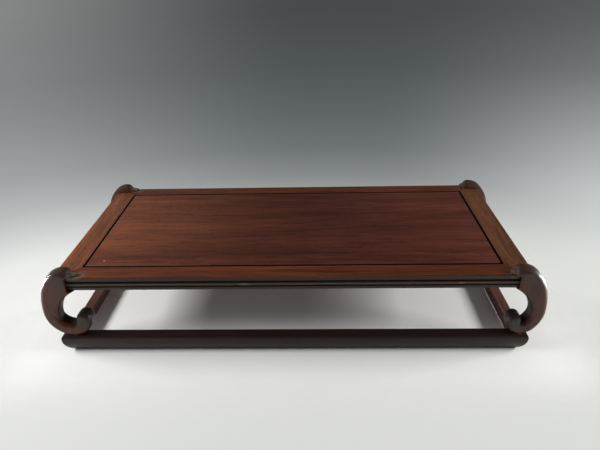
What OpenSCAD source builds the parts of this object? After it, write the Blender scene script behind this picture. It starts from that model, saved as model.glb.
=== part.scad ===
// Low wooden display stand: a framed panel top gripped at its corners by four
// C-scroll legs, which stand on a rectangular base frame.
// Frame of reference: origin on the floor under the middle of the stand,
// +X along its length, +Y to the back, +Z up. Millimetres.

/* [Top frame] */
// Length of the framed top over its end rails
top_length = 450; // [400:5:520]
// Depth of the framed top over its long rails
top_depth = 201; // [170:1:240]
// Height of the top's surface above the floor
top_height = 88; // [86:1:104]
// Thickness of the top's rails
rail_thick = 15; // [14:0.5:17]
// Width of each long rail
long_rail_width = 18.5; // [17:0.5:26]
// Width of each end rail
end_rail_width = 23; // [20:0.5:30]
// Radius of the bead in the moulded edge
bead_radius = 1.9; // [1.5:0.1:2.1]
// Depth of the two quirks beside the bead
quirk_depth = 1.7; // [1:0.1:2.5]

/* [Panel] */
// Thickness of the floating panel
panel_thick = 8; // [7:0.5:9]
// Width of the shadow groove round the panel
shadow_gap = 1.7; // [1:0.1:3]
// Thickness of the panel's tongue
tongue_thick = 3.4; // [2.5:0.1:4]
// How far the tongue enters the rails
tongue_length = 4.5; // [3:0.5:5]
// Width of each batten under the panel
batten_width = 16; // [12:1:24]
// Distance between the middles of the two battens
batten_spacing = 216; // [150:2:260]

/* [Legs] */
// Thickness of the legs from flank to flank
leg_thick = 15.8; // [14.6:0.2:17]
// Width of the scroll's bar between its outer and inner edges
leg_width = 13.6; // [12.4:0.2:14]
// Radius of the bar's rounded arrises
leg_round = 4.6; // [3:0.2:5]
// How far the scroll's belly stands outside the end of the top
leg_reach = 17.4; // [16:0.2:22]
// Distance from the top's long edges in to the legs' middle planes
leg_inset = 4.5; // [3.5:0.1:5.5]
// Radius of the scroll's shoulder
shoulder_radius = 36; // [30:1:42]
// Radius of the crown that rolls over the frame
crown_radius = 12.5; // [11:0.5:14]
// Height of the scroll's belly above the middle of its foot
belly_rise = 21.5; // [20:0.5:23]
// Radius of the lower bend on the left legs
heel_radius_left = 18; // [12:0.5:20]
// Radius of the lower bend on the right legs
heel_radius_right = 10; // [9:0.5:14]
// Radius of the foot's curl on the left legs
curl_radius_left = 12.6; // [9:0.2:14]
// Radius of the foot's curl on the right legs
curl_radius_right = 7.2; // [7.2:0.2:10]
// Angle through which the left legs' feet curl up
curl_turn_left = 91; // [70:1:100]
// Angle through which the right legs' feet curl up
curl_turn_right = 105; // [70:1:115]
// How far the brackets of the left legs reach in under the top
bracket_reach_left = 19.5; // [16:0.5:22]
// How far the brackets of the right legs reach in under the top
bracket_reach_right = 15.5; // [15:0.5:22]
// Width of the left legs at the lowest point of the bracket's edge
waist_left = 15.4; // [14:0.2:17]
// Width of the right legs at the lowest point of the bracket's edge
waist_right = 13.5; // [13:0.2:16]
// How far the legs' flat heads lap over the frame's mouldings
head_lap = 13; // [11:0.5:15]
// Length of the nose on the left legs' crowns
nose_length_left = 13; // [9:0.5:15]
// Length of the nose on the right legs' crowns
nose_length_right = 8; // [7:0.5:13]
// Diameter of the tip of the left noses
nose_tip_left = 4.6; // [3:0.2:7]
// Diameter of the tip of the right noses
nose_tip_right = 7; // [4:0.2:8]

/* [Base] */
// How far the base frame stands outside the top on every side
base_overhang = 5; // [3.5:0.5:6]
// Height of the base's long rails
base_height = 20.8; // [18:0.2:24]
// Width of each long base rail
base_long_width = 11; // [10:0.5:16]
// Width of each end base rail
base_end_width = 11.5; // [9:0.5:14]
// Height of each end base rail's own section
base_end_height = 10.6; // [8:0.2:12]
// How far the end base rails hang above the floor
base_end_lift = 4.2; // [3:0.2:6]
// Radius of the long rails' upper edges
base_edge_radius = 6; // [4.5:0.5:8]
// How far the long rails' outer faces draw in at the floor
base_undercut = 7; // [3:0.5:8]

/* [Joinery] */
// Diameter of the dowels that pin the legs
dowel_diameter = 4; // [3:0.5:4.5]
// Length of each dowel
dowel_length = 20; // [16:1:24]
// Thickness of the tenons at the frame's corners and on the base's end rails
tenon_thick = 4; // [3:0.5:4.5]

/* [Hidden] */

$fn = 64;
LEFT = -1;
RIGHT = 1;
FRONT = -1;
BACK = 1;

// Fits and small clearances
joint_fit = 0.1;
overlap = 0.01;
past = 1;

// Colours
rosewood = [0.33, 0.16, 0.11];
rosewood_light = [0.42, 0.22, 0.14];
rosewood_dark = [0.17, 0.11, 0.09];
dowel_wood = [0.62, 0.48, 0.3];

// Top frame
rail_bottom = top_height - rail_thick;
half_length = top_length / 2;
half_depth = top_depth / 2;
inner_length = top_length - 2 * end_rail_width;
inner_depth = top_depth - 2 * long_rail_width;
edge_radius = 0.8;
top_band = 3.7;
bead_drop = 7.8;
lower_band = 3.6;
lower_setback = 0.6;
lower_radius = 2.2;

// Panel and battens
tongue_top = top_height - 3.4;
tongue_bottom = tongue_top - tongue_thick;
groove_play = 0.5;
batten_thick = 5.5;
batten_flare = 1.5;
batten_tenon = 4;
batten_shoulder = 3;
batten_tenon_drop = 4.5;
batten_tenon_thick = 3.5;
key_height = 2;
batten_top = top_height - panel_thick;

// Mitre tenons
tenon_end_gap = 4;
tenon_width = 6;
tenon_inset = tongue_length + groove_play + 0.5;
tenon_root = 6;
top_tenon_y = long_rail_width - tenon_inset - tenon_thick;

// Base frame
base_length = top_length + 2 * base_overhang;
base_depth = top_depth + 2 * base_overhang;
base_crown = 4;
base_widest = base_height - base_crown;
base_end_round = 1.2;
base_tenon_width = 5;
base_tenon_drop = 1;
base_tenon_wall = 0.9;

// Scroll: a plane curve of tangent arcs, x outward from the end of the top, y up.
// Each bend is a hair slimmer than the one it grows from and starts just inside it.
slimmer = 0.05;
lap = 0.1;
leg_plane = half_depth - leg_inset;
base_dowel_out = 4.6;
base_dowel_y = leg_plane + base_dowel_out;
base_tenon_length = base_dowel_y - dowel_diameter / 2 - base_tenon_wall
                    - (base_depth / 2 - base_long_width);
seat_depth = 0.6;
crown_lift = 0.6;
side_turn = 16;
shoulder_turn = 28;
crown_turn = 90 - side_turn - shoulder_turn;
calf_turn = 40;
heel_turn = 90 - calf_turn;
nose_root = 9.6;
foot_z = base_height - seat_depth + leg_width / 2;
belly = [leg_reach - leg_width / 2, foot_z + belly_rise];
crown_z = top_height + crown_lift;
bend_rise = shoulder_radius * (sin(side_turn + shoulder_turn) - sin(side_turn))
          + crown_radius * (1 - sin(side_turn + shoulder_turn));
side_radius = (crown_z - belly.y - bend_rise) / sin(side_turn);

// Bracket between the scroll and the frame: its edge is one arc, upright at the waist
rim_slim = 0.15;
cheek_slim = 0.3;
rim_width = 2 * leg_round + 0.4;
waist_drop = 7.5;
waist_z = belly.y - waist_drop;

// Dowels
leg_dowel_z = top_height - rail_thick / 2;
leg_dowel_back = 1.5;
leg_dowel_y = leg_plane - leg_dowel_back;
leg_dowel_in_leg = 6.5;
base_dowel_in_leg = 9;

// Arcs that follow each other: where an arc from point p ends, and its heading
function side_of(turn) = turn < 0 ? -1 : 1;
function arc_centre(p, heading, r, turn) =
    p + side_of(turn) * r * [-sin(heading), cos(heading)];
function arc_start(heading, turn) = heading - side_of(turn) * 90;
function arc_point(p, heading, r, turn) =
    arc_centre(p, heading, r, turn)
    + r * [cos(arc_start(heading, turn) + turn), sin(arc_start(heading, turn) + turn)];
function arc_points(p, heading, r, turn, steps) =
    [for (i = [0 : steps]) arc_point_at(p, heading, r, turn, turn * i / steps)];
function arc_point_at(p, heading, r, turn, part) =
    arc_centre(p, heading, r, turn)
    + r * [cos(arc_start(heading, turn) + part), sin(arc_start(heading, turn) + part)];

// Lower bend of a leg: the calf's radius and the foot's lowest point on the bar's middle line
function calf_radius(heel_radius) =
    (belly_rise - heel_radius * (1 - sin(calf_turn))) / sin(calf_turn);
function heel_start(heel_radius) =
    arc_point(belly, 270, calf_radius(heel_radius), -calf_turn);
function foot(heel_radius) =
    arc_point(heel_start(heel_radius), 270 - calf_turn, heel_radius, -heel_turn);

// Bracket of a leg: the lowest point of its edge, and the edge's radius and turn
function waist(width) = [leg_reach - width, waist_z];
function edge_radius_of(reach, width) =
    let (run = waist(width).x + reach, rise = rail_bottom - waist_z)
    (run * run + rise * rise) / (2 * run);
function edge_turn(reach, width) =
    asin((rail_bottom - waist_z) / edge_radius_of(reach, width));

shoulder_start = arc_point(belly, 90, side_radius, side_turn);
crown_start = arc_point(shoulder_start, 90 + side_turn, shoulder_radius, shoulder_turn);
crown_end = arc_point(crown_start, 90 + side_turn + shoulder_turn, crown_radius, crown_turn);

// Section of a bar with rounded arrises
module bar_section(width, slim) {
    w = width / 2 - slim;
    t = leg_thick / 2 - slim;
    r = leg_round - slim;
    translate([-w, r - t])
        square([2 * w, 2 * (t - r)]);
    translate([r - w, -t])
        square([2 * (w - r), 2 * t]);
    for (x = [r - w, w - r], y = [r - t, t - r])
        translate([x, y])
            circle(r = r);
}

// The bar bent to one arc
module bar_arc(p, heading, r, turn, width, slim) {
    c = arc_centre(p, heading, r, turn);
    lead = lap / r * 180 / PI;
    translate([c.x, c.y, 0])
        rotate(arc_start(heading, turn) + (turn < 0 ? turn : -lead))
            rotate_extrude(angle = abs(turn) + lead)
                translate([r, 0])
                    bar_section(width, slim);
}

// The bar's end at point p, rounded over in the scroll's plane
module bar_end(p, slim) {
    translate([p.x, p.y, 0])
        rotate_extrude()
            intersection() {
                bar_section(leg_width, slim);
                translate([0, -leg_thick])
                    square([leg_width, 2 * leg_thick]);
            }
}

// The crown's nose: one turned piece that tapers to a small round tip
module nose(length, tip) {
    lean = asin((nose_root - tip) / 2 / length);
    near = nose_root / 2 * [cos(lean), sin(lean)];
    far = [0, length] + tip / 2 * [cos(lean), sin(lean)];
    translate([crown_end.x, crown_end.y, 0])
        rotate([0, -90, 0])
            rotate_extrude()
                union() {
                    polygon([[0, 0], [near.x, 0], near, far, [0, far.y]]);
                    intersection() {
                        translate([0, length])
                            circle(r = tip / 2);
                        translate([0, length])
                            square(tip / 2);
                    }
                }
}

// The flat bracket between the scroll and the frame, with a rounded bar along its edge
module bracket(reach, width) {
    steps = 6;
    turn = edge_turn(reach, width);
    r = edge_radius_of(reach, width) + rim_width / 2;
    start = waist(width) + [rim_width / 2, 0];
    rim = arc_points(start, 90, r, turn, 2 * steps);
    scroll_line = concat(
        arc_points(belly, 90, side_radius, side_turn, steps),
        arc_points(shoulder_start, 90 + side_turn, shoulder_radius, shoulder_turn, steps),
        arc_points(crown_start, 90 + side_turn + shoulder_turn, crown_radius, crown_turn, steps));
    bar_arc(start, 90, r, turn, rim_width, rim_slim);
    linear_extrude(height = leg_thick - 2 * cheek_slim, center = true)
        polygon(concat(scroll_line, [[-head_lap, crown_z]],
                       [for (i = [len(rim) - 1 : -1 : 0]) rim[i]]));
}

// The whole scroll before its joints are cut, x outward, y up, z across
module scroll(heel_radius, curl_radius, curl_turn) {
    shoulder_heading = 90 + side_turn;
    crown_heading = shoulder_heading + shoulder_turn;
    foot = foot(heel_radius);
    curl_end = arc_point(foot, 180, curl_radius, -curl_turn);
    bar_arc(belly, 90, side_radius, side_turn, leg_width, 0);
    bar_arc(shoulder_start, shoulder_heading, shoulder_radius, shoulder_turn, leg_width, slimmer);
    bar_arc(crown_start, crown_heading, crown_radius, crown_turn, leg_width, 2 * slimmer);
    bar_end(crown_end, 3 * slimmer);
    bar_arc(belly, 270, calf_radius(heel_radius), -calf_turn, leg_width, slimmer);
    bar_arc(heel_start(heel_radius), 270 - calf_turn, heel_radius, -heel_turn, leg_width, 2 * slimmer);
    bar_arc(foot, 180, curl_radius, -curl_turn, leg_width, 3 * slimmer);
    bar_end(curl_end, 4 * slimmer);
}

// One leg in its place: scroll, bracket and nose, less the mouth for the frame's corner,
// the mouldings past the head's lap, the flat seat on the base and the two dowel holes
module leg(side, end) {
    mouth = 3 * leg_thick;
    left = side == LEFT;
    color(rosewood_dark) difference() {
        mirror([side < 0 ? 1 : 0, 0, 0])
            mirror([0, end > 0 ? 1 : 0, 0])
                translate([half_length, -leg_plane, 0])
                    rotate([90, 0, 0])
                        difference() {
                            union() {
                                scroll(left ? heel_radius_left : heel_radius_right,
                                       left ? curl_radius_left : curl_radius_right,
                                       left ? curl_turn_left : curl_turn_right);
                                bracket(left ? bracket_reach_left : bracket_reach_right,
                                        left ? waist_left : waist_right);
                                nose(left ? nose_length_left : nose_length_right,
                                     left ? nose_tip_left : nose_tip_right);
                            }
                            translate([-mouth, rail_bottom, leg_inset - mouth])
                                cube([mouth, rail_thick, mouth]);
                            translate([-mouth, rail_bottom, -mouth])
                                cube([mouth - head_lap, rail_thick, 2 * mouth]);
                            translate([-mouth, base_height - mouth, -mouth])
                                cube([2 * mouth, mouth, 2 * mouth]);
                        }
        frame_dowel(side, end, joint_fit);
        base_dowel(side, end, joint_fit);
    }
}

// A dowel that pins a leg's head to the frame's corner
module frame_dowel(side, end, fit) {
    start = half_length - (dowel_length - leg_dowel_in_leg) - fit;
    translate([side * start, end * leg_dowel_y, leg_dowel_z])
        rotate([0, side * 90, 0])
            cylinder(h = dowel_length + 2 * fit, d = dowel_diameter + 2 * fit);
}

// A dowel that pins a leg's foot to the base
module base_dowel(side, end, fit) {
    start = base_height + base_dowel_in_leg - dowel_length - fit;
    foot = foot(side == LEFT ? heel_radius_left : heel_radius_right);
    translate([side * (half_length + foot.x), end * base_dowel_y, start])
        cylinder(h = dowel_length + 2 * fit, d = dowel_diameter + 2 * fit);
}

// Moulded section of the top's rails, x outward to 0, y up to 0
module rail_section(width) {
    core = width - quirk_depth;
    translate([-width, -rail_thick])
        square([core, rail_thick]);
    translate([-width, -top_band])
        square([width, top_band - edge_radius]);
    translate([-width, -edge_radius - overlap])
        square([width - edge_radius, edge_radius + overlap]);
    translate([-edge_radius, -edge_radius])
        circle(r = edge_radius);
    translate([-bead_radius, -bead_drop])
        circle(r = bead_radius);
    lower_x = -lower_setback - lower_radius;
    translate([-width, -rail_thick + lower_radius])
        square([width - lower_setback, lower_band - lower_radius]);
    translate([-width, -rail_thick])
        square([width + lower_x, lower_radius + overlap]);
    translate([lower_x, -rail_thick + lower_radius])
        circle(r = lower_radius);
}

// Section of the base's long rails and shape of their ends, x outward to 0, y up from 0
module base_section(width) {
    round_face = (base_widest * base_widest + base_undercut * base_undercut) / (2 * base_undercut);
    intersection() {
        translate([-width, 0])
            square([width, base_widest]);
        translate([-round_face, base_widest])
            circle(r = round_face, $fn = 180);
    }
    intersection() {
        translate([-width, base_widest - overlap])
            square([width, base_height - base_widest + overlap]);
        union() {
            translate([-base_edge_radius, base_widest])
                circle(r = base_edge_radius);
            translate([-width, 0])
                square([width - base_edge_radius, base_height]);
        }
    }
}

// Half of a long rail's side view, its end at x = 0 and its middle at the far end
module base_half_side() {
    base_section(base_long_width);
    translate([-base_length / 2 - overlap, 0])
        square([base_length / 2 - base_long_width + 2 * overlap, base_height]);
}

// Section of the base's end rails, x across, y up from 0
module base_end_section() {
    r = base_end_round;
    w = base_end_width / 2;
    translate([r - w, 0])
        square([2 * (w - r), base_end_height]);
    translate([-w, r])
        square([2 * w, base_end_height - 2 * r]);
    for (x = [r - w, w - r], y = [r, base_end_height - r])
        translate([x, y])
            circle(r = r);
}

// Plan of a mitred rail whose outer edge lies on y = 0 and whose body is behind it
module mitred_plan(length, width, other_width) {
    polygon([[-length / 2, 0], [length / 2, 0],
             [length / 2 - other_width, width], [other_width - length / 2, width]]);
}

// A mitred rail along X with its outer face on y = 0, from the section that is passed in
module mitred_rail(length, width, other_width, height) {
    intersection() {
        rotate([90, 0, 90])
            linear_extrude(height = length + 2 * past, center = true)
                mirror([1, 0])
                    children();
        linear_extrude(height = 4 * height, center = true)
            mitred_plan(length, width, other_width);
    }
}

// Tenons that run from a long rail's mitred ends into the end rails
module mitre_tenons(length, other_width, end_gap, inset, width, z, fit) {
    reach = length / 2 - end_gap + fit;
    root = length / 2 - other_width - tenon_root;
    for (side = [LEFT, RIGHT])
        translate([side > 0 ? root : -reach, inset - fit, z - width / 2 - fit])
            cube([reach - root, tenon_thick + 2 * fit, width + 2 * fit]);
}

module top_tenons(fit) {
    mitre_tenons(top_length, end_rail_width, tenon_end_gap, top_tenon_y, tenon_width,
                 leg_dowel_z, fit);
}

// The tenons at both ends of a base end rail, in one bar with its middle
module base_tenons(side, fit) {
    x = side * (base_length / 2 - base_end_width / 2 - base_tenon_drop) - base_tenon_width / 2;
    y = base_depth / 2 - base_long_width + base_tenon_length;
    z = base_end_lift + (base_end_height - tenon_thick) / 2;
    translate([x - fit, -y - fit, z - fit])
        cube([base_tenon_width + 2 * fit, 2 * (y + fit), tenon_thick + 2 * fit]);
}

// The panel's raised field
module panel_field() {
    width = inner_length - 2 * shadow_gap;
    depth = inner_depth - 2 * shadow_gap;
    translate([-width / 2, -depth / 2, batten_top])
        cube([width, depth, panel_thick]);
}

// The tongue all round the panel, which reaches this far past the frame's opening
module panel_tongue(reach, fit) {
    width = inner_length + 2 * reach;
    depth = inner_depth + 2 * reach;
    translate([-width / 2, -depth / 2, tongue_bottom])
        cube([width, depth, tongue_thick + fit]);
}

// Dovetail key on a batten's upper side, or the slot for it in the panel
module batten_key(side, run, fit) {
    key_width = batten_width - 2 * batten_shoulder + 2 * fit;
    neck_width = key_width - 2 * batten_flare;
    translate([side * batten_spacing / 2, 0, batten_top])
        rotate([90, 0, 0])
            linear_extrude(height = run, center = true)
                polygon([[-neck_width / 2, -overlap], [neck_width / 2, -overlap],
                         [key_width / 2, key_height + fit], [-key_width / 2, key_height + fit]]);
}

// Tenons at a batten's two ends, or the mortises for them in the long rails
module batten_tenons(side, fit) {
    width = batten_width - 2 * batten_shoulder + 2 * fit;
    run = inner_depth + 2 * batten_tenon + 2 * fit;
    translate([side * batten_spacing / 2 - width / 2, -run / 2, batten_top - batten_tenon_drop - fit])
        cube([width, run, batten_tenon_thick + 2 * fit]);
}

// Long rail of the top, at the front or the back
module long_rail(end) {
    color(rosewood) difference() {
        mirror([0, end > 0 ? 1 : 0, 0])
            translate([0, -half_depth, 0]) {
                translate([0, 0, top_height])
                    mitred_rail(top_length, long_rail_width, end_rail_width, rail_thick)
                        rail_section(long_rail_width);
                top_tenons(0);
            }
        panel_tongue(tongue_length + groove_play, joint_fit);
        for (side = [LEFT, RIGHT]) {
            batten_tenons(side, joint_fit);
            frame_dowel(side, end, joint_fit);
        }
    }
}

// End rail of the top, at the left or the right
module end_rail(side) {
    color(rosewood) difference() {
        translate([side * half_length, 0, top_height])
            rotate([0, 0, side * 90])
                mitred_rail(top_depth, end_rail_width, long_rail_width, rail_thick)
                    rail_section(end_rail_width);
        panel_tongue(tongue_length + groove_play, joint_fit);
        for (end = [FRONT, BACK]) {
            mirror([0, end > 0 ? 1 : 0, 0])
                translate([0, -half_depth, 0])
                    top_tenons(joint_fit);
            frame_dowel(side, end, joint_fit);
        }
    }
}

// Floating panel with its tongue and the two dovetail slots
module top_panel() {
    color(rosewood_light)
        difference() {
            union() {
                panel_field();
                panel_tongue(tongue_length, 0);
            }
            for (side = [LEFT, RIGHT])
                batten_key(side, top_depth, joint_fit);
        }
}

// Batten across the panel's underside
module panel_batten(side) {
    color(rosewood_dark) {
        batten_key(side, inner_depth - 2 * shadow_gap, 0);
        batten_tenons(side, 0);
        translate([side * batten_spacing / 2 - batten_width / 2, -inner_depth / 2,
                   batten_top - batten_thick])
            cube([batten_width, inner_depth, batten_thick]);
    }
}

// Long rail of the base, at the front or the back, its ends shaped like its outer face
module base_long_rail(end) {
    color(rosewood_dark)
        difference() {
            intersection() {
                translate([0, end * base_depth / 2, 0])
                    rotate([90, 0, end * 90])
                        linear_extrude(height = base_length, center = true)
                            base_section(base_long_width);
                for (side = [LEFT, RIGHT])
                    mirror([side < 0 ? 1 : 0, 0, 0])
                        translate([base_length / 2, 0, 0])
                            rotate([90, 0, 0])
                                linear_extrude(height = base_depth + 2 * past, center = true)
                                    base_half_side();
            }
            for (side = [LEFT, RIGHT]) {
                base_tenons(side, joint_fit);
                base_dowel(side, end, joint_fit);
            }
        }
}

// End rail of the base, held between the long rails, at the left or the right
module base_end_rail(side) {
    color(rosewood_dark) {
        translate([side * (base_length - base_end_width) / 2, 0, base_end_lift])
            rotate([90, 0, 0])
                linear_extrude(height = base_depth - 2 * base_long_width, center = true)
                    base_end_section();
        base_tenons(side, 0);
    }
}

// The four dowels between the legs and the top frame
module dowels_in_frame() {
    color(dowel_wood)
        for (side = [LEFT, RIGHT], end = [FRONT, BACK])
            frame_dowel(side, end, 0);
}

// The four dowels between the legs and the base
module dowels_in_base() {
    color(dowel_wood)
        for (side = [LEFT, RIGHT], end = [FRONT, BACK])
            base_dowel(side, end, 0);
}

long_rail(FRONT);  // front_rail
long_rail(BACK);  // back_rail
end_rail(LEFT);  // left_end_rail
end_rail(RIGHT);  // right_end_rail
top_panel();
panel_batten(LEFT);  // left_batten
panel_batten(RIGHT);  // right_batten
leg(LEFT, FRONT);  // front_left_leg
leg(RIGHT, FRONT);  // front_right_leg
leg(LEFT, BACK);  // back_left_leg
leg(RIGHT, BACK);  // back_right_leg
base_long_rail(FRONT);  // base_front_rail
base_long_rail(BACK);  // base_back_rail
base_end_rail(LEFT);  // base_left_rail
base_end_rail(RIGHT);  // base_right_rail
dowels_in_frame();  // frame_dowels
dowels_in_base();  // base_dowels
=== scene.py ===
import math

import bpy
import numpy as np
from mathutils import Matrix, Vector

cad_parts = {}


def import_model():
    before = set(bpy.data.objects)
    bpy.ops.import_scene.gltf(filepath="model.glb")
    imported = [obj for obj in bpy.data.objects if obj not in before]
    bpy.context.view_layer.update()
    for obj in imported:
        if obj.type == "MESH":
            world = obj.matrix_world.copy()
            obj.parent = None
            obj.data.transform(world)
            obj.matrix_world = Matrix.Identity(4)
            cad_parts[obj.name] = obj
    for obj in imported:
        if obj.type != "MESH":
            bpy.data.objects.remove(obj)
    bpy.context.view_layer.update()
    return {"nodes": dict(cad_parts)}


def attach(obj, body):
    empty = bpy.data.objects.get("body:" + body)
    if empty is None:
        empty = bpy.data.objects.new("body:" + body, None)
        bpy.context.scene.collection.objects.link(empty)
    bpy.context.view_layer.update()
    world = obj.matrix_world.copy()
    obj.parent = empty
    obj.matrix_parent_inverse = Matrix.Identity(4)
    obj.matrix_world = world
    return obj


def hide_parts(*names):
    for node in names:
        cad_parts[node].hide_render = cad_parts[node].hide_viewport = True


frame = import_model()

# Sizes in millimetres, as in the part's source: x right, y back, z up, the floor at 0
MM = 0.001
HALF_LENGTH = 225.0
HALF_DEPTH = 100.5
TOP_Z = 88.0
RAIL_Z = 73.0
BASE_Z = 20.8
LEG_PLANE = 96.0
HEAD_LAP = 13.0
BEAD_Z = 79.2
FRAME_INNER = (202.0, 82.0)
PANEL_EDGE = (200.1, 80.3)


class Shader:
    """Nodes of a material or of the world, each made in one short call"""

    def __init__(self, owner, output="ShaderNodeOutputMaterial"):
        owner.use_nodes = True
        self.tree = owner.node_tree
        self.tree.nodes.clear()
        self.output = self.add(output)

    def add(self, kind, **settings):
        node = self.tree.nodes.new(kind)
        for key, value in settings.items():
            setattr(node, key, value)
        return node

    def put(self, socket, value):
        """Links a socket's value, or sets a constant"""
        if isinstance(value, bpy.types.NodeSocket):
            self.tree.links.new(value, socket)
        elif value is not None:
            socket.default_value = value

    def math(self, operation, a, b=None):
        node = self.add("ShaderNodeMath", operation=operation)
        self.put(node.inputs[0], a)
        self.put(node.inputs[1], b)
        return node.outputs[0]

    def times(self, a, b):
        return self.math("MULTIPLY", a, b)

    def plus(self, a, b):
        return self.math("ADD", a, b)

    def larger(self, a, b):
        return self.math("MAXIMUM", a, b)

    def size(self, a):
        return self.math("ABSOLUTE", a)

    def place(self):
        return self.add("ShaderNodeTexCoord").outputs["Object"]

    def axes(self, vector):
        node = self.add("ShaderNodeSeparateXYZ")
        self.put(node.inputs[0], vector)
        return node.outputs

    def stretch(self, vector, scale, shift=(0, 0, 0)):
        node = self.add("ShaderNodeMapping")
        self.put(node.inputs["Vector"], vector)
        node.inputs["Scale"].default_value = scale
        node.inputs["Location"].default_value = shift
        return node.outputs[0]

    def noise(self, vector, detail, rough, scale=1.0):
        node = self.add("ShaderNodeTexNoise")
        self.put(node.inputs["Vector"], vector)
        node.inputs["Scale"].default_value = scale
        node.inputs["Detail"].default_value = detail
        node.inputs["Roughness"].default_value = rough
        return node.outputs["Fac"]

    def ramp(self, value, stops):
        """A colour ramp with stops (position, gray level or colour)"""
        node = self.add("ShaderNodeValToRGB")
        elements = node.color_ramp.elements
        while len(elements) < len(stops):
            elements.new(0.5)
        for element, (at, colour) in zip(elements, stops):
            element.position = at
            if isinstance(colour, float):
                colour = (colour,) * 3
            element.color = (*colour, 1.0)
        self.put(node.inputs[0], value)
        return node.outputs[0]

    def mix(self, amount, a, b, blend="MIX"):
        """Colour a where the amount is 0, colour b where it is 1"""
        node = self.add("ShaderNodeMix", data_type="RGBA", blend_type=blend)
        self.put(node.inputs[0], amount)
        for socket, colour in ((node.inputs[6], a), (node.inputs[7], b)):
            self.put(socket, colour if isinstance(colour, bpy.types.NodeSocket) else (*colour, 1.0))
        return node.outputs[2]

    def lerp(self, value, low, high):
        """A value from 0 to 1, turned into one from low to high"""
        node = self.add("ShaderNodeMapRange")
        self.put(node.inputs[0], value)
        node.inputs[3].default_value = low
        node.inputs[4].default_value = high
        return node.outputs[0]

    def band(self, value, start, end, unit=1.0):
        """0 where the value is at start, rising smoothly to 1 at end"""
        node = self.add("ShaderNodeMapRange", interpolation_type="SMOOTHSTEP")
        self.put(node.inputs[0], value)
        node.inputs[1].default_value = start * unit
        node.inputs[2].default_value = end * unit
        return node.outputs[0]

    def near(self, centre, radii, full=0.6):
        """0 on and outside an ellipsoid in millimetres, 1 within this share of its radii"""
        node = self.add("ShaderNodeMapping", vector_type="TEXTURE")
        self.put(node.inputs["Vector"], self.place())
        node.inputs["Location"].default_value = [value * MM for value in centre]
        node.inputs["Scale"].default_value = [value * MM for value in radii]
        length = self.add("ShaderNodeVectorMath", operation="LENGTH")
        self.put(length.inputs[0], node.outputs[0])
        return self.band(length.outputs["Value"], 1.0, full)

    def wander(self, vector, amount, scale):
        """The place, moved about by a soft noise so that the grain isn't straight"""
        node = self.add("ShaderNodeTexNoise")
        self.put(node.inputs["Vector"], vector)
        node.inputs["Scale"].default_value = scale
        node.inputs["Detail"].default_value = 2.0
        shift = self.add("ShaderNodeVectorMath", operation="SUBTRACT")
        self.put(shift.inputs[0], node.outputs["Color"])
        shift.inputs[1].default_value = (0.5, 0.5, 0.5)
        scaled = self.add("ShaderNodeVectorMath", operation="SCALE")
        self.put(scaled.inputs[0], shift.outputs[0])
        scaled.inputs["Scale"].default_value = amount
        total = self.add("ShaderNodeVectorMath", operation="ADD")
        self.put(total.inputs[0], vector)
        self.put(total.inputs[1], scaled.outputs[0])
        return total.outputs[0]

    def blend(self, amount, a, b):
        """Shader a where the amount is 0, shader b where it is 1, into the output"""
        node = self.add("ShaderNodeMixShader")
        self.put(node.inputs[0], amount)
        self.put(node.inputs[1], a.outputs[0])
        self.put(node.inputs[2], b.outputs[0])
        self.put(self.output.inputs["Surface"], node.outputs[0])


# Dark and light tone of each wood
RAIL = (0.056, 0.014, 0.005), (0.175, 0.045, 0.016)
# Paler tones for the left end rail: painted sheen from the left light
LEFT_SHEEN_RAIL = (0.09, 0.03, 0.013), (0.27, 0.083, 0.031)
DULL = (0.058, 0.022, 0.011), (0.172, 0.066, 0.029)
PANEL = (0.10, 0.022, 0.013), (0.27, 0.078, 0.036)
LEG = (0.028, 0.008, 0.004), (0.125, 0.031, 0.012)
BASE = (0.014, 0.009, 0.008), (0.038, 0.018, 0.015)
SIDE = (0.05, 0.022, 0.018), (0.145, 0.062, 0.048)
BEECH = (0.25, 0.15, 0.08), (0.4, 0.27, 0.15)

# Colours of marks, dirt and wax, and of painted shade, highlights and reflection
PORE = (0.008, 0.003, 0.002)
# Pale wax colour, also used for painted highlights on the bead, the knot's swelling and round the
# noses
WAX_AND_HIGHLIGHT = (0.15, 0.135, 0.1)
# Painted shade: faces below the top surface, the gap's walls and the knot's notch
SHADE_DARK = (0.012, 0.007, 0.005)
# Painted shade in the gap round the panel
GAP_SHADE = (0.005, 0.003, 0.003)
CHIP = (0.2, 0.085, 0.03)
FLECK = (0.5, 0.42, 0.32)
# Old dirt and painted shade on the curl, painted shade inside the scroll
DIRT_AND_SHADE = (0.016, 0.015, 0.012)
# Dust and a painted dark reflection on the crowns
DUST_AND_DARK_REFLECTION = (0.034, 0.025, 0.022)

# Roughness of each finish, lowest and highest
POLISHED = (0.3, 0.42)
RUBBED = (0.36, 0.46)
SANDED = (0.5, 0.62)
RAW = (0.6, 0.7)
COAT_ROUGHNESS = 0.14
BUMP_STRENGTH = 0.25
BUMP_DEPTH = 0.0002


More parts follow.
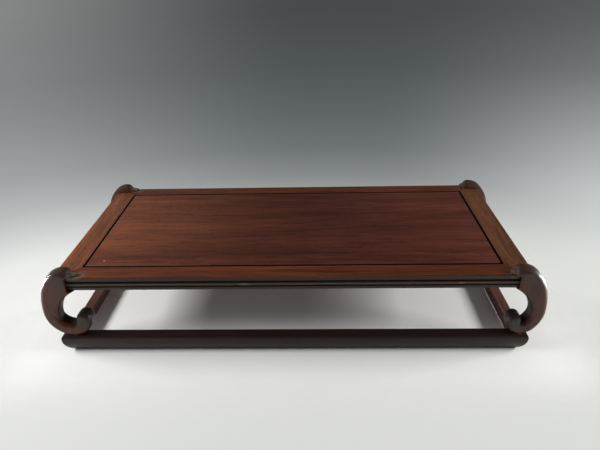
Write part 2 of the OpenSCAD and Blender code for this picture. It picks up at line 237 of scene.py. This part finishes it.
def wood(name, grain, tones, seed, rough=POLISHED, coat=0.0, shine=0.3, extra=None):
    """Hardwood: broad figure, patches, streaks, fibre and fine pores along one axis"""
    material = bpy.data.materials.new(name)
    s = Shader(material)
    dark, light = tones

    def along(with_grain, across):
        return tuple(with_grain if axis == grain else across for axis in "xyz")

    place = s.stretch(s.place(), (1, 1, 1), (seed, seed * 0.7, seed * 1.3))
    place = s.wander(place, 0.012, 7.0)
    figure = s.noise(s.stretch(place, along(2.6, 34)), 5.0, 0.6)
    patch = s.noise(s.stretch(place, along(3.5, 9)), 2.0, 0.5)
    fibre = s.noise(s.stretch(place, along(9, 420)), 4.0, 0.7)
    pores = s.noise(s.stretch(place, along(110, 1700)), 2.0, 0.5)
    streak = s.noise(s.stretch(place, along(16, 260)), 4.0, 0.65)
    body = s.mix(s.band(figure, 0.2, 0.82), dark, light)
    body = s.mix(s.lerp(patch, 0.0, 0.45), body, dark)
    body = s.mix(s.band(streak, 0.48, 0.68), body, s.mix(0.36, body, PORE))
    body = s.mix(s.band(streak, 0.46, 0.28), body, s.mix(0.4, body, light))
    body = s.mix(s.band(fibre, 0.5, 0.72), body, s.mix(0.55, body, PORE))
    holes = s.band(pores, 0.6, 0.7)
    colour = s.mix(s.times(holes, 0.75), body, PORE)
    gloss = s.plus(s.lerp(patch, *rough), s.times(holes, 0.15))
    if extra:
        colour, gloss = extra(s, colour, gloss)
    bsdf = s.add("ShaderNodeBsdfPrincipled")
    s.put(bsdf.inputs["Base Color"], colour)
    s.put(bsdf.inputs["Roughness"], gloss)
    bsdf.inputs["Specular IOR Level"].default_value = shine
    bsdf.inputs["Coat Weight"].default_value = coat
    bsdf.inputs["Coat Roughness"].default_value = COAT_ROUGHNESS
    bump = s.add("ShaderNodeBump")
    bump.inputs["Strength"].default_value = BUMP_STRENGTH
    bump.inputs["Distance"].default_value = BUMP_DEPTH
    s.put(bump.inputs["Height"], s.math("SUBTRACT", s.times(fibre, 0.4), holes))
    s.put(bsdf.inputs["Normal"], bump.outputs[0])
    s.put(s.output.inputs["Surface"], bsdf.outputs[0])
    return material


def moulding(s, colour, gloss):
    """Rails: painted shade on the faces below the top and in the gap, a painted highlight along the
    bead, old wax flecks with a painted highlight round the noses of the scrolls
    """
    x, y, z = s.axes(s.place())
    # Painted shade: every face more than a millimetre below the top surface is darkened, the
    # moulded fronts and the gap's walls
    edge = s.band(z, TOP_Z - 0.3, TOP_Z - 1.4, MM)
    colour = s.mix(edge, colour, s.mix(0.88, colour, SHADE_DARK))
    # Painted shade on the rails' walls inside the gap
    gap_wall_shade = s.times(*(s.band(s.size(axis), inner + 0.6, inner + 0.1, MM)
                           for axis, inner in zip((x, y), FRAME_INNER)))
    colour = s.mix(gap_wall_shade, colour, GAP_SHADE)
    # Painted highlight along the bead
    bead = s.band(s.size(s.math("SUBTRACT", z, BEAD_Z * MM)), 2.4, 1.4, MM)
    colour = s.mix(s.times(bead, 0.22), colour, WAX_AND_HIGHLIGHT)
    speck = s.band(s.noise(s.place(), 3.0, 0.7, 900.0), 0.4, 0.6)
    worn = s.band(s.noise(s.place(), 2.0, 0.6, 210.0), 0.4, 0.62)
    # Round each nose: old wax flecks and a painted highlight ring
    for end, reach in ((-1, 13.0), (1, 9.0)):
        for side in (-1, 1):
            nose = (end * (HALF_LENGTH - HEAD_LAP - reach * 0.6), side * LEG_PLANE, TOP_Z + 1)
            halo = s.times(s.near(nose, (reach + 2, 9.5, 6.0), 0.35), s.lerp(worn, 0.2, 1.0))
            colour = s.mix(s.times(halo, s.lerp(speck, 0.35, 0.85)), colour, WAX_AND_HIGHLIGHT)
    return colour, gloss


def front_edge(s, colour, gloss):
    """Front rail: as the others, with a knot and a chip in its bead: painted shade in the knot's
    notch, a painted highlight on its swelling
    """
    colour, gloss = moulding(s, colour, gloss)
    # Painted shade in the knot's notch
    colour = s.mix(s.near((-51, -HALF_DEPTH, 78), (1.6, 3, 3)), colour, SHADE_DARK)
    # Painted highlight on the knot's swelling
    colour = s.mix(s.near((-43, -HALF_DEPTH, 79), (8, 3, 2)), colour, s.mix(0.9, colour, WAX_AND_HIGHLIGHT))
    colour = s.mix(s.near((159, -HALF_DEPTH, 79), (4, 3, 2.2)), colour, CHIP)
    return colour, gloss


# Painted sheen: the panel's lightness from its left end to its right end
PANEL_SHEEN = [(0.05, 1.0), (0.22, 0.72), (0.42, 0.44), (0.55, 0.4), (0.72, 0.5), (0.95, 0.62)]
GOLDEN = (0.98, 1.08, 0.94)
REDDISH = (1.0, 1.0, 1.3)


def panel_sheen_and_gap_shade(s, colour, gloss):
    """Panel: painted sheen, paler toward both ends and golden at the left; painted shade in the
    gap; one light fleck
    """
    x, y, z = s.axes(s.place())
    # Painted sheen: lightness and tint change along the panel, paler at both ends and golden at the
    # left
    uneven = s.noise(s.stretch(s.place(), (3, 12, 1)), 2.0, 0.5)
    along = s.plus(s.math("DIVIDE", x, 2 * HALF_LENGTH * MM), s.lerp(uneven, 0.35, 0.65))
    tint = s.mix(s.band(along, 0.25, 0.6), GOLDEN, REDDISH)
    tint = s.mix(1.0, s.ramp(along, PANEL_SHEEN), tint, "MULTIPLY")
    colour = s.mix(1.0, colour, tint, "MULTIPLY")
    # Painted shade in the gap round the panel's field
    gap = s.larger(s.band(s.size(x), PANEL_EDGE[0] - 0.8, PANEL_EDGE[0], MM),
                   s.band(s.size(y), PANEL_EDGE[1] - 0.4, PANEL_EDGE[1], MM))
    above = s.band(z, TOP_Z - 7, TOP_Z - 6, MM)
    colour = s.mix(s.times(gap, above), colour, GAP_SHADE)
    colour = s.mix(s.near((-184.5, -71, TOP_Z), (0.9, 0.9, 2)), colour, FLECK)
    return colour, gloss


long_rail = dict(grain="x", tones=RAIL, coat=0.1)
end_rail = dict(grain="y", coat=0.1, extra=moulding)
batten = dict(grain="y", tones=RAIL, rough=SANDED)
base_long = dict(grain="x", tones=BASE, shine=0.22)
base_end = dict(grain="y", tones=SIDE)
dowel = dict(tones=BEECH, rough=RAW)
finishes = {
    "front_rail": wood("polished_front_rail", seed=1.1, extra=front_edge, **long_rail),
    "back_rail": wood("polished_back_rail", seed=2.3, extra=moulding, **long_rail),
    # The left end rail is painted paler: painted sheen, as at the panel's left end
    "left_end_rail": wood("polished_left_rail", seed=3.7, tones=LEFT_SHEEN_RAIL, **end_rail),
    "right_end_rail": wood("polished_right_rail", seed=4.9, tones=DULL, **end_rail),
    "top_panel": wood("polished_panel", "x", PANEL, 6.2, coat=0.1, extra=panel_sheen_and_gap_shade),
    "left_batten": wood("sanded_batten_left", seed=7.7, **batten),
    "right_batten": wood("sanded_batten_right", seed=8.1, **batten),
    "base_front_rail": wood("dark_base_front", seed=9.4, **base_long),
    "base_back_rail": wood("dark_base_back", seed=10.6, **base_long),
    "base_left_rail": wood("dull_base_left", seed=11.8, **base_end),
    "base_right_rail": wood("dull_base_right", seed=12.2, **base_end),
    "frame_dowels": wood("dowel_beech", "x", seed=13.5, **dowel),
    "base_dowels": wood("dowel_beech_foot", "z", seed=14.4, **dowel),
}
for node_name, material in finishes.items():
    slots = frame["nodes"][node_name].data.materials
    if not slots:
        slots.append(material)
    for index in range(len(slots)):
        slots[index] = material


# Scroll legs: a distance field of the carved bar, turned into a smooth mesh
def arcs(start, heading, bends, steps=24):
    """Points of a plane curve of tangent arcs, each bend (radius, turn in degrees)"""
    point, angle = np.array(start, float), math.radians(heading)
    points = [point.copy()]
    for radius, turn in bends:
        turn = math.radians(turn)
        side = 1.0 if turn > 0 else -1.0
        centre = point + radius * side * np.array([-math.sin(angle), math.cos(angle)])
        for k in range(1, steps + 1):
            a = turn * k / steps
            c, n = math.cos(a), math.sin(a)
            x, y = point - centre
            points.append(centre + np.array([x * c - y * n, x * n + y * c]))
        point, angle = points[-1].copy(), angle + turn
    return np.array(points)


def segment(px, py, a, b):
    """Distance in the plane to the segment from a to b, and the share of the way along it"""
    dx, dy = b[0] - a[0], b[1] - a[1]
    t = np.clip(((px - a[0]) * dx + (py - a[1]) * dy) / max(dx * dx + dy * dy, 1e-9), 0, 1)
    return np.hypot(px - a[0] - t * dx, py - a[1] - t * dy), t


def curve_field(px, py, points, widths):
    """Distance to a bar along a polyline in the plane, whose half width varies"""
    field = np.full(px.shape, 1e9)
    for a, b, wa, wb in zip(points[:-1], points[1:], widths[:-1], widths[1:]):
        d, t = segment(px, py, a, b)
        field = np.minimum(field, d - wa - t * (wb - wa))
    return field


def beside(px, py, points):
    """How far a place lies to the left of the nearest part of a polyline, negative to the right"""
    nearest, offset = np.full(px.shape, 1e9), np.zeros(px.shape)
    for a, b in zip(points[:-1], points[1:]):
        d, _ = segment(px, py, a, b)
        cross = (b[0] - a[0]) * (py - a[1]) - (b[1] - a[1]) * (px - a[0])
        offset = np.where(d < nearest, cross / np.hypot(b[0] - a[0], b[1] - a[1]), offset)
        nearest = np.minimum(nearest, d)
    return offset


def polygon_field(px, py, points):
    """Signed distance to a closed polygon, negative inside"""
    best = np.full(px.shape, 1e9)
    inside = np.zeros(px.shape, bool)
    for a, b in zip(points, np.roll(points, -1, axis=0)):
        best = np.minimum(best, segment(px, py, a, b)[0])
        crosses = (a[1] > py) != (b[1] > py)
        at = a[0] + (py - a[1]) / np.where(b[1] == a[1], 1e-9, b[1] - a[1]) * (b[0] - a[0])
        inside ^= crosses & (px < at)
    return np.where(inside, -best, best)


def blend_in(a, b, k):
    """Union of two fields with a fillet of about k"""
    h = np.clip(0.5 + 0.5 * (b - a) / k, 0, 1)
    return b + (a - b) * h - k * h * (1 - h)


def surface(field, origin, step):
    """Vertices and quads of the zero surface of a field"""
    shape = np.array(field.shape) - 1
    total = np.zeros((*shape, 3))
    count = np.zeros(shape)
    corners = [(i, j, k) for i in (0, 1) for j in (0, 1) for k in (0, 1)]

    def at(c):
        return field[c[0]:c[0] + shape[0], c[1]:c[1] + shape[1], c[2]:c[2] + shape[2]]

    for a in corners:
        for axis in range(3):
            if a[axis]:
                continue
            b = tuple(1 if n == axis else a[n] for n in range(3))
            va, vb = at(a), at(b)
            cut = (va < 0) != (vb < 0)
            t = np.where(cut, va / np.where(cut, va - vb, 1.0), 0.0)
            for n in range(3):
                total[..., n] += np.where(cut, a[n] + (t if n == axis else 0.0), 0.0)
            count += cut
    used = count > 0
    number = np.full(shape, -1)
    number[used] = np.arange(used.sum())
    cells = np.argwhere(used)
    verts = origin + step * (cells + total[used] / count[used][:, None])
    quads = []
    for axis in range(3):
        u, v = (axis + 1) % 3, (axis + 2) % 3
        low = [slice(1, -1)] * 3
        high = [slice(1, -1)] * 3
        low[axis], high[axis] = slice(0, -1), slice(1, None)
        fa, fb = field[tuple(low)], field[tuple(high)]
        for flip, cut in ((False, (fa < 0) & (fb >= 0)), (True, (fa >= 0) & (fb < 0))):
            at_edge = np.argwhere(cut)
            offset = np.array([1, 1, 1])
            offset[axis] = 0
            base = at_edge + offset
            ring = []
            for du, dv in ((-1, -1), (0, -1), (0, 0), (-1, 0)):
                cell = base.copy()
                cell[:, u] += du
                cell[:, v] += dv
                ring.append(number[tuple(cell.T)])
            quad = np.stack(ring, axis=1)
            quads.append(quad[:, ::-1] if flip else quad)
    return verts, np.concatenate(quads)


# Sizes of the scrolls in millimetres, as in the part's source, and the field's grid
STEP = 0.5
GRID_X = (-45.0, 21.0)
GRID_Y = (17.0, 98.5)
GRID_Z = (-9.25, 9.3)
LEG_WIDTH = 13.6
LEG_THICK = 15.8
LEG_ROUND = 4.6
OUTER_ROUND = 5.4
OUTER_FROM_Z = 34.0
OUTER_FULL_Z = 54.0
REACH = 17.4
BELLY_Z = 48.5
FOOT_Z = 27.0
CROWN_Z = 88.6
WAIST_Z = 41.0
NOSE_ROOT = 4.8
UPPER_BENDS = [(76.9, 16), (36, 28), (12.5, 46)]
CALF_TURN = 40
HEEL_TURN = 50
BRACKET_FILLET = 1.6
NOSE_FILLET = 1.2
SCROLL = {
    "left": dict(heel=18.0, curl=12.6, curl_turn=91, bulb=7.4, bracket=19.5, waist=15.4,
                 nose=13.0, tip=2.3),
    "right": dict(heel=10.0, curl=7.2, curl_turn=105, bulb=6.7, bracket=15.5, waist=13.5,
                  nose=8.0, tip=3.5),
}


def ease(share):
    """A share from 0 to 1 with soft ends"""
    share = np.clip(share, 0, 1)
    return share * share * (3 - 2 * share)


def arris(plan, across, round_off):
    """Solid field from a plan's field, its edges rounded where the flanks meet the rim"""
    round_off = round_off[..., None]
    u = plan[..., None] + round_off
    v = np.abs(across) - LEG_THICK / 2 + round_off
    outside = np.hypot(np.maximum(u, 0), np.maximum(v, 0))
    return outside + np.minimum(np.maximum(u, v), 0) - round_off


def bracket_outline(sizes, upper):
    """The small bracket that fills the corner between the bar and the rail"""
    waist = (REACH - sizes["waist"], WAIST_Z)
    run, rise = waist[0] + sizes["bracket"], RAIL_Z - WAIST_Z
    radius = (run * run + rise * rise) / (2 * run)
    edge = arcs(waist, 90, [(radius, math.degrees(math.asin(rise / radius)))])
    head = np.array([[-HEAD_LAP - 4, CROWN_Z], [-sizes["bracket"], RAIL_Z + 6]])
    return np.concatenate([upper, head, edge[::-1]])


def scroll_field(side):
    """Field of one scroll, its corner and its curl: x outward from the top's end, y up, z across"""
    sizes = SCROLL[side]
    half = LEG_WIDTH / 2
    belly = (REACH - half, BELLY_Z)
    turned = math.sin(math.radians(CALF_TURN))
    calf = (BELLY_Z - FOOT_Z - sizes["heel"] * (1 - turned)) / turned
    lower_bends = [(calf, -CALF_TURN), (sizes["heel"], -HEEL_TURN),
                   (sizes["curl"], -sizes["curl_turn"])]
    lower = arcs(belly, 270, lower_bends)
    upper = arcs(belly, 90, UPPER_BENDS)
    bar = np.concatenate([upper[::-1], lower[1:]])
    widths = half + (sizes["bulb"] - half) * ease(np.linspace(-7, 1, len(bar)))

    x, y, z = (np.arange(*limits, STEP) for limits in (GRID_X, GRID_Y, GRID_Z))
    px, py = np.meshgrid(x, y, indexing="ij")
    across = z[None, None, :]
    plan = curve_field(px, py, bar, widths)
    bracket = polygon_field(px, py, bracket_outline(sizes, upper))
    plan = blend_in(plan, bracket, BRACKET_FILLET)
    above = (py - OUTER_FROM_Z) / (OUTER_FULL_Z - OUTER_FROM_Z)
    outer = np.clip(beside(px, py, bar) / half, 0, 1) * np.clip(above, 0, 1)
    field = arris(plan, across, LEG_ROUND + (OUTER_ROUND - LEG_ROUND) * ease(outer))

    crown_end = upper[-1]
    d, t = segment(px, py, crown_end, crown_end - np.array([sizes["nose"], 0]))
    nose_radius = NOSE_ROOT + t * (sizes["tip"] - NOSE_ROOT)
    nose = np.hypot(d[..., None], across) - nose_radius[..., None]
    field = blend_in(field, nose, NOSE_FILLET)

    # The leg's mouth takes the frame's corner, its head laps over it, its foot stands on the base
    beyond_end = px[..., None]
    frame_space = np.maximum(RAIL_Z - py, py - TOP_Z)[..., None]
    mouth = np.maximum(np.maximum(beyond_end, frame_space), across - (HALF_DEPTH - LEG_PLANE))
    lap = np.maximum(beyond_end + HEAD_LAP, frame_space)
    field = np.maximum(field, np.maximum(-mouth, -lap))
    field = np.maximum(field, (BASE_Z - py)[..., None])
    return field, np.array([x[0], y[0], z[0]]), lower[-1]


def leg(name, verts, quads, curl_end, end, side):
    """One leg from a scroll's mesh, mirrored to its corner, with its own wood"""
    plane = side * LEG_PLANE
    placed = np.empty_like(verts)
    placed[:, 0] = end * (HALF_LENGTH + verts[:, 0])
    placed[:, 1] = side * (LEG_PLANE + verts[:, 2])
    placed[:, 2] = verts[:, 1]
    if end * side > 0:
        quads = quads[:, ::-1]
    mesh = bpy.data.meshes.new(name)
    mesh.from_pydata((placed * MM).tolist(), [], quads.tolist())
    mesh.update()
    mesh.shade_smooth()
    piece = bpy.data.objects.new(name, mesh)
    bpy.context.collection.objects.link(piece)

    def leg_dirt_wax_and_painted_light(s, colour, gloss):
        """Crown darker with dust and a painted dark reflection, old dirt and painted shade on the
        curl, painted shade inside the scroll, wax, wear and a painted highlight on the nose
        """
        _, _, z = s.axes(s.place())
        crown = s.band(z, TOP_Z - 14, TOP_Z, MM)
        curl = (end * (HALF_LENGTH + float(curl_end[0])), plane, float(curl_end[1]))
        curled = s.near(curl, (13, 20, 13), 0.55)
        inside = s.near((end * (HALF_LENGTH - 6), plane, 53), (15, 7.8, 26), 0.8)
        nose = s.near((end * (HALF_LENGTH - HEAD_LAP - 6), plane, TOP_Z + 1), (9, 7, 7), 0.5)
        speck = s.band(s.noise(s.place(), 3.0, 0.7, 700.0), 0.42, 0.6)
        # Crown: dust and a painted dark reflection on the leg's top
        colour = s.mix(s.times(crown, 0.7), colour, DUST_AND_DARK_REFLECTION)
        # Curl: old dirt and painted shade
        colour = s.mix(s.times(curled, 0.9), colour, DIRT_AND_SHADE)
        # Inside the scroll: painted shade
        colour = s.mix(s.times(inside, 0.85), colour, DIRT_AND_SHADE)
        # Nose: wax flecks and a painted highlight, and rougher wear
        colour = s.mix(s.times(nose, s.lerp(speck, 0.1, 0.7)), colour, WAX_AND_HIGHLIGHT)
        return colour, s.plus(gloss, s.times(nose, 0.28))

    piece.data.materials.append(wood("gloss_" + name, "z", LEG, 20 + 3 * end + side, RUBBED,
                                     shine=0.34, extra=leg_dirt_wax_and_painted_light))
    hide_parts(name)
    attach(piece, "root")


for end_name, end in (("left", -1), ("right", 1)):
    field, corner, curl_end = scroll_field(end_name)
    scroll_verts, scroll_quads = surface(field, corner, STEP)
    for side_name, side in (("front", -1), ("back", 1)):
        leg(f"{side_name}_{end_name}_leg", scroll_verts, scroll_quads, curl_end, end, side)


# Half sizes in metres of the part of the floor that is seen, and how far it fades round that
FLOOR_SEEN = (0.24, 0.11)
FLOOR_FADE = 0.08
FLOOR_RAGGED = 0.06
FLOOR_COLOUR = (0.8, 0.8, 0.775, 1)
FLOOR_Z = -0.0002


def floor():
    """One large triangle, fading into the backdrop round the stand and clear from below"""
    material = bpy.data.materials.new("pale_floor")
    s = Shader(material)
    seen = s.add("ShaderNodeNewGeometry")
    spot = seen.outputs["Position"]
    x, y, _ = s.axes(spot)
    dx, dy = (s.larger(s.math("SUBTRACT", s.size(axis), limit), 0.0)
              for axis, limit in zip((x, y), FLOOR_SEEN))
    away = s.math("SQRT", s.plus(s.times(dx, dx), s.times(dy, dy)))
    ragged = s.math("SUBTRACT", s.noise(spot, 0.0, 0.5, 4000.0), 0.5)
    away = s.plus(away, s.times(ragged, FLOOR_RAGGED))
    fade = s.larger(s.band(away, 0.0, FLOOR_FADE), seen.outputs["Backfacing"])
    fade = s.times(fade, s.add("ShaderNodeLightPath").outputs["Is Camera Ray"])
    diffuse = s.add("ShaderNodeBsdfDiffuse")
    diffuse.inputs["Color"].default_value = FLOOR_COLOUR
    s.blend(fade, diffuse, s.add("ShaderNodeBsdfTransparent"))
    mesh = bpy.data.meshes.new("floor")
    mesh.from_pydata([(0, 9, FLOOR_Z), (-8, -5, FLOOR_Z), (8, -5, FLOOR_Z)], [], [(0, 1, 2)])
    mesh.materials.append(material)
    plane = bpy.data.objects.new("floor", mesh)
    bpy.context.collection.objects.link(plane)


# Stops of the backdrop and of its glow at both sides, by the sine of the height of the ray
BACKDROP = [
    (-1.0, (0.66, 0.67, 0.64)),
    (-0.70, (0.71, 0.72, 0.69)),
    (-0.53, (0.72, 0.73, 0.70)),
    (-0.48, (0.56, 0.57, 0.54)),
    (-0.43, (0.36, 0.38, 0.37)),
    (-0.39, (0.235, 0.25, 0.25)),
    (-0.34, (0.155, 0.17, 0.172)),
    (-0.28, (0.115, 0.128, 0.13)),
    (-0.20, (0.082, 0.092, 0.094)),
    (-0.10, (0.064, 0.070, 0.071)),
    (1.0, (0.05, 0.05, 0.05)),
]
LEFT_GLOW = [
    (-0.80, 0.0), (-0.62, 0.09), (-0.54, 0.15), (-0.47, 0.33), (-0.38, 0.25), (-0.34, 0.215),
    (-0.29, 0.19), (-0.24, 0.165), (-0.19, 0.16), (-0.13, 0.175), (-0.08, 0.2), (1.0, 0.2),
]
RIGHT_GLOW = [
    (-0.54, 0.0), (-0.47, 0.26), (-0.38, 0.46), (-0.34, 0.43), (-0.29, 0.34), (-0.24, 0.24),
    (-0.19, 0.145), (-0.13, 0.09), (-0.08, 0.06), (1.0, 0.05),
]
ROOM = (0.03, 0.03, 0.03)
WORLD_LIGHT = 0.15


def world():
    """Weak plain light, and a backdrop that darkens with height, paler at both sides

    What the polish reflects is the backdrop too, and a dark room in front of the stand.
    """
    owner = bpy.data.worlds.new("studio")
    bpy.context.scene.world = owner
    s = Shader(owner, "ShaderNodeOutputWorld")
    x, y, z = s.axes(s.add("ShaderNodeTexCoord").outputs["Generated"])
    height = s.times(s.plus(z, 1.0), 0.5)
    aside = s.math("DIVIDE", x, s.larger(s.size(y), 0.25))

    def shade(stops):
        return s.ramp(height, [((sine + 1) / 2, colour) for sine, colour in stops])

    left = s.times(s.band(aside, 0.0, -0.75), shade(LEFT_GLOW))
    right = s.times(s.band(aside, 0.1, 0.85), shade(RIGHT_GLOW))
    seen = s.mix(1.0, shade(BACKDROP), s.plus(left, right), "ADD")
    path = s.add("ShaderNodeLightPath")
    camera_ray, glossy_ray = path.outputs["Is Camera Ray"], path.outputs["Is Glossy Ray"]
    seen = s.mix(s.times(glossy_ray, s.band(y, 0.25, -0.1)), seen, ROOM)
    backdrop = s.add("ShaderNodeBackground")
    s.put(backdrop.inputs[0], seen)
    plain = s.add("ShaderNodeBackground")
    plain.inputs[1].default_value = WORLD_LIGHT
    s.blend(s.larger(camera_ray, glossy_ray), plain, backdrop)


def lamp(name, place, aim, size, power, spread=180):
    """An area lamp that the camera doesn't see"""
    data = bpy.data.lights.new(name, "AREA")
    data.shape = "RECTANGLE"
    data.size, data.size_y = size
    data.energy = power
    data.spread = math.radians(spread)
    light = bpy.data.objects.new(name, data)
    bpy.context.collection.objects.link(light)
    light.location = place
    light.rotation_mode = "QUATERNION"
    light.rotation_quaternion = (Vector(aim) - Vector(place)).to_track_quat("-Z", "Y")
    light.visible_camera = False
    return light


floor()
world()

# Soft boxes light the stand and the floor but aren't mirrored in the polish
SOFT_BOX = (0.4, 0.18)
boxes = [
    lamp("left_box", (-0.70, -0.14, 0.445), (0, -0.1, 0.3), SOFT_BOX, 6.8),
    lamp("right_box", (0.78, -0.14, 0.36), (0, -0.1, 0.2), SOFT_BOX, 6.5),
    lamp("back_fill", (0, 0.9, 0.27), (0, 0, 0.03), (1.2, 0.2), 1.6),
]
for box in boxes:
    box.visible_glossy = False

# Low cards are only mirrored, on the outer edges of the front legs
CARD = (0.24, 0.076)
CARD_Z = 0.046
CARD_SPREAD = 50
for name, end, power in (("left_card", -1, 0.62), ("right_card", 1, 0.55)):
    card = lamp(name, (end * 0.62, -0.07, CARD_Z), (end * 0.24, -0.19, CARD_Z), CARD, power,
                CARD_SPREAD)
    card.visible_diffuse = False

# Camera at the photograph's viewing angle
camera = bpy.data.objects.new("camera", bpy.data.cameras.new("camera"))
bpy.context.collection.objects.link(camera)
camera.data.sensor_width = 36.0
camera.data.lens = 30.6
camera.location = (0.0248, -0.49173, 0.3554)
camera.rotation_euler = [math.radians(angle) for angle in (61.4384, 1.3538, 1.2854)]
bpy.context.scene.camera = camera
bpy.context.scene.view_settings.view_transform = "Standard"
